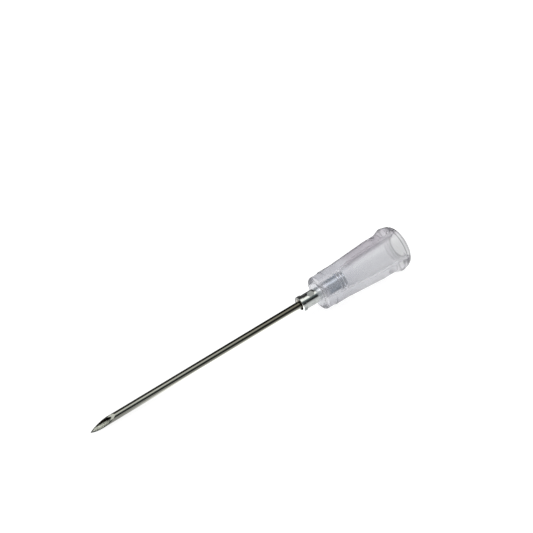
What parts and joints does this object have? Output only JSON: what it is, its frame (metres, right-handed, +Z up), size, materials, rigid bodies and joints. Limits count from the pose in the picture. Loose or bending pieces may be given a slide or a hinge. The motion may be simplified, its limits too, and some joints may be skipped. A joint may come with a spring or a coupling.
{
  "type": "hypodermic needle",
  "caption": "Hypodermic needle: bevelled steel cannula held by a metal ferrule in a clear Luer-lock hub that takes a syringe's tip.",
  "frame": {"origin": "centre of the underside of the resting needle's box, on the surface it lies on", "axes": "+X from the sharp point towards the hub's mouth, +Z up from the surface, +Y across; the needle's own axis rises from the point to the mouth by 3.12 degrees, because it rests on the small flat under the hub's flange and on the cannula"},
  "size_m": [0.0604, 0.0078, 0.0076],
  "materials": {
    "cannula_steel": "drawn and polished stainless steel tube with a ground point",
    "ferrule_aluminium": "bright turned aluminium with shallow crimp marks",
    "hub_plastic": "clear glossy moulded polypropylene"
  },
  "bodies": {
    "root": {"cannula": "cannula_steel", "ferrule": "ferrule_aluminium", "hub": "hub_plastic"}
  },
  "joints": []
}
